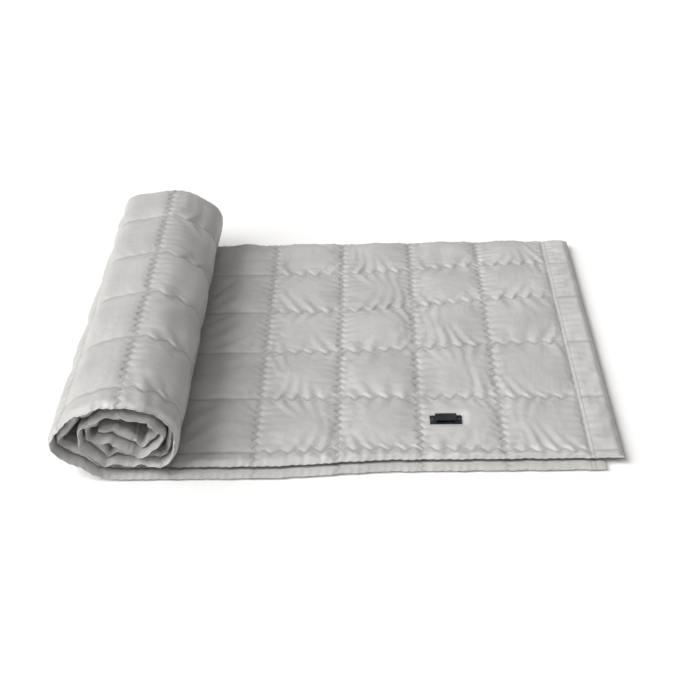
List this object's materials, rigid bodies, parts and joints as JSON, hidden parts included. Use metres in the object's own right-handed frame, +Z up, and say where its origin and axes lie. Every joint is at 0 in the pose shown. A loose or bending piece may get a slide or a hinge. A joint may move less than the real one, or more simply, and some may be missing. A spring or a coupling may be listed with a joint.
{
  "type": "infrared sauna blanket",
  "caption": "Quilted two-layer infrared sauna blanket, rolled up at one end, with a folding top layer and a low inlet socket.",
  "frame": {"origin": "middle of the footprint, on the floor under the blanket", "axes": "+X along the blanket towards its open flat end, +Y to its back edge, +Z up"},
  "size_m": [1.0287, 0.82, 0.1644],
  "materials": {
    "outer_cloth": "satin",
    "lining_cloth": "satin",
    "wadding": "matte",
    "foil": "satin",
    "carbon_film": "matte",
    "copper": "satin",
    "dark_plastic": "matte",
    "steel": "brushed"
  },
  "bodies": {
    "bottom_and_foot": {"bottom_busbar_back": "copper", "bottom_busbar_front": "copper", "bottom_heating_film": "carbon_film", "bottom_inner_lining": "lining_cloth", "bottom_outer_cover": "outer_cloth", "bottom_reflective_foil": "foil", "bottom_wadding": "wadding", "temperature_sensor": "steel", "thermal_cutout_back": "dark_plastic", "thermal_cutout_front": "dark_plastic", "top_panel_1_heating_film": "carbon_film", "top_panel_1_inner_lining": "lining_cloth", "top_panel_1_quilted_cover": "outer_cloth"},
    "top_panel_2": {"top_panel_2_heating_film": "carbon_film", "top_panel_2_inner_lining": "lining_cloth", "top_panel_2_quilted_cover": "outer_cloth"},
    "top_panel_3": {"top_panel_3_heating_film": "carbon_film", "top_panel_3_inner_lining": "lining_cloth", "top_panel_3_quilted_cover": "outer_cloth"},
    "top_panel_4": {"inlet_backing_plate": "steel", "inlet_flange": "dark_plastic", "inlet_housing": "dark_plastic", "inlet_pin_1": "copper", "inlet_pin_2": "copper", "inlet_pin_3": "copper", "inlet_screw_left": "steel", "inlet_screw_right": "steel", "top_panel_4_heating_film": "carbon_film", "top_panel_4_inner_lining": "lining_cloth", "top_panel_4_quilted_cover": "outer_cloth"},
    "top_panel_5": {"top_panel_5_heating_film": "carbon_film", "top_panel_5_inner_lining": "lining_cloth", "top_panel_5_quilted_cover": "outer_cloth"},
    "roll_01": {"roll_01_bottom_layer": "outer_cloth", "roll_01_top_layer": "lining_cloth"},
    "roll_02": {"roll_02_bottom_layer": "outer_cloth", "roll_02_top_layer": "lining_cloth"},
    "roll_03": {"roll_03_bottom_layer": "outer_cloth", "roll_03_top_layer": "lining_cloth"},
    "roll_04": {"roll_04_bottom_layer": "outer_cloth", "roll_04_top_layer": "lining_cloth"},
    "roll_05": {"roll_05_bottom_layer": "outer_cloth", "roll_05_top_layer": "lining_cloth"},
    "roll_06": {"roll_06_bottom_layer": "outer_cloth", "roll_06_top_layer": "lining_cloth"},
    "roll_07": {"roll_07_bottom_layer": "outer_cloth", "roll_07_top_layer": "lining_cloth"},
    "roll_08": {"roll_08_bottom_layer": "outer_cloth", "roll_08_top_layer": "lining_cloth"},
    "roll_09": {"roll_09_bottom_layer": "outer_cloth", "roll_09_top_layer": "lining_cloth"},
    "roll_10": {"roll_10_bottom_layer": "outer_cloth", "roll_10_top_layer": "lining_cloth"},
    "roll_11": {"roll_11_bottom_layer": "outer_cloth", "roll_11_top_layer": "lining_cloth"},
    "roll_12": {"roll_12_bottom_layer": "outer_cloth", "roll_12_top_layer": "lining_cloth"}
  },
  "joints": [
    {"name": "top_fold_2", "type": "hinge", "parent": "bottom_and_foot", "child": "top_panel_2", "pos_m": [-0.15517, 0, 0.019], "axis": [0, -1, 0], "range_deg": [0, 42]},
    {"name": "top_fold_3", "type": "hinge", "parent": "top_panel_2", "child": "top_panel_3", "pos_m": [-0.00277, 0, 0.019], "axis": [0, -1, 0], "range_deg": [0, 42]},
    {"name": "top_fold_4", "type": "hinge", "parent": "top_panel_3", "child": "top_panel_4", "pos_m": [0.14963, 0, 0.019], "axis": [0, -1, 0], "range_deg": [0, 42]},
    {"name": "top_fold_5", "type": "hinge", "parent": "top_panel_4", "child": "top_panel_5", "pos_m": [0.30203, 0, 0.019], "axis": [0, -1, 0], "range_deg": [0, 42]},
    {"name": "unroll_01", "type": "hinge", "parent": "bottom_and_foot", "child": "roll_01", "pos_m": [-0.42187, 0, 0.019], "axis": [0, -1, 0], "range_deg": [0, 35]},
    {"name": "unroll_02", "type": "hinge", "parent": "roll_01", "child": "roll_02", "pos_m": [-0.49641, 0, 0.07119], "axis": [0, -1, 0], "range_deg": [0, 73]},
    {"name": "unroll_03", "type": "hinge", "parent": "roll_02", "child": "roll_03", "pos_m": [-0.47231, 0, 0.14538], "axis": [0, -1, 0], "range_deg": [0, 72]},
    {"name": "unroll_04", "type": "hinge", "parent": "roll_03", "child": "roll_04", "pos_m": [-0.34631, 0, 0.14538], "axis": [0, -1, 0], "range_deg": [0, 35]},
    {"name": "unroll_05", "type": "hinge", "parent": "roll_04", "child": "roll_05", "pos_m": [-0.2988, 0, 0.11211], "axis": [0, -1, 0], "range_deg": [0, 64]},
    {"name": "unroll_06", "type": "hinge", "parent": "roll_05", "child": "roll_06", "pos_m": [-0.30959, 0, 0.04396], "axis": [0, -1, 0], "range_deg": [0, 80]},
    {"name": "unroll_07", "type": "hinge", "parent": "roll_06", "child": "roll_07", "pos_m": [-0.41358, 0, 0.04215], "axis": [0, -1, 0], "range_deg": [0, 51]},
    {"name": "unroll_08", "type": "hinge", "parent": "roll_07", "child": "roll_08", "pos_m": [-0.44829, 0, 0.08351], "axis": [0, -1, 0], "range_deg": [0, 80]},
    {"name": "unroll_09", "type": "hinge", "parent": "roll_08", "child": "roll_09", "pos_m": [-0.41486, 0, 0.12335], "axis": [0, -1, 0], "range_deg": [0, 56]},
    {"name": "unroll_10", "type": "hinge", "parent": "roll_09", "child": "roll_10", "pos_m": [-0.34326, 0, 0.11582], "axis": [0, -1, 0], "range_deg": [0, 51]},
    {"name": "unroll_11", "type": "hinge", "parent": "roll_10", "child": "roll_11", "pos_m": [-0.32365, 0, 0.08563], "axis": [0, -1, 0], "range_deg": [0, 80]},
    {"name": "unroll_12", "type": "hinge", "parent": "roll_11", "child": "roll_12", "pos_m": [-0.34852, 0, 0.06244], "axis": [0, -1, 0], "range_deg": [0, 69]}
  ],
  "couplings": [
    {"joint": "top_fold_3", "follows": "top_fold_2", "ratio": 1},
    {"joint": "top_fold_4", "follows": "top_fold_2", "ratio": 1},
    {"joint": "top_fold_5", "follows": "top_fold_2", "ratio": 1},
    {"joint": "unroll_02", "follows": "unroll_01", "ratio": 2.0857},
    {"joint": "unroll_03", "follows": "unroll_01", "ratio": 2.0571},
    {"joint": "unroll_04", "follows": "unroll_01", "ratio": 1},
    {"joint": "unroll_05", "follows": "unroll_01", "ratio": 1.8286},
    {"joint": "unroll_06", "follows": "unroll_01", "ratio": 2.2857},
    {"joint": "unroll_07", "follows": "unroll_01", "ratio": 1.4571},
    {"joint": "unroll_08", "follows": "unroll_01", "ratio": 2.2857},
    {"joint": "unroll_09", "follows": "unroll_01", "ratio": 1.6},
    {"joint": "unroll_10", "follows": "unroll_01", "ratio": 1.4571},
    {"joint": "unroll_11", "follows": "unroll_01", "ratio": 2.2857},
    {"joint": "unroll_12", "follows": "unroll_01", "ratio": 1.9714}
  ]
}
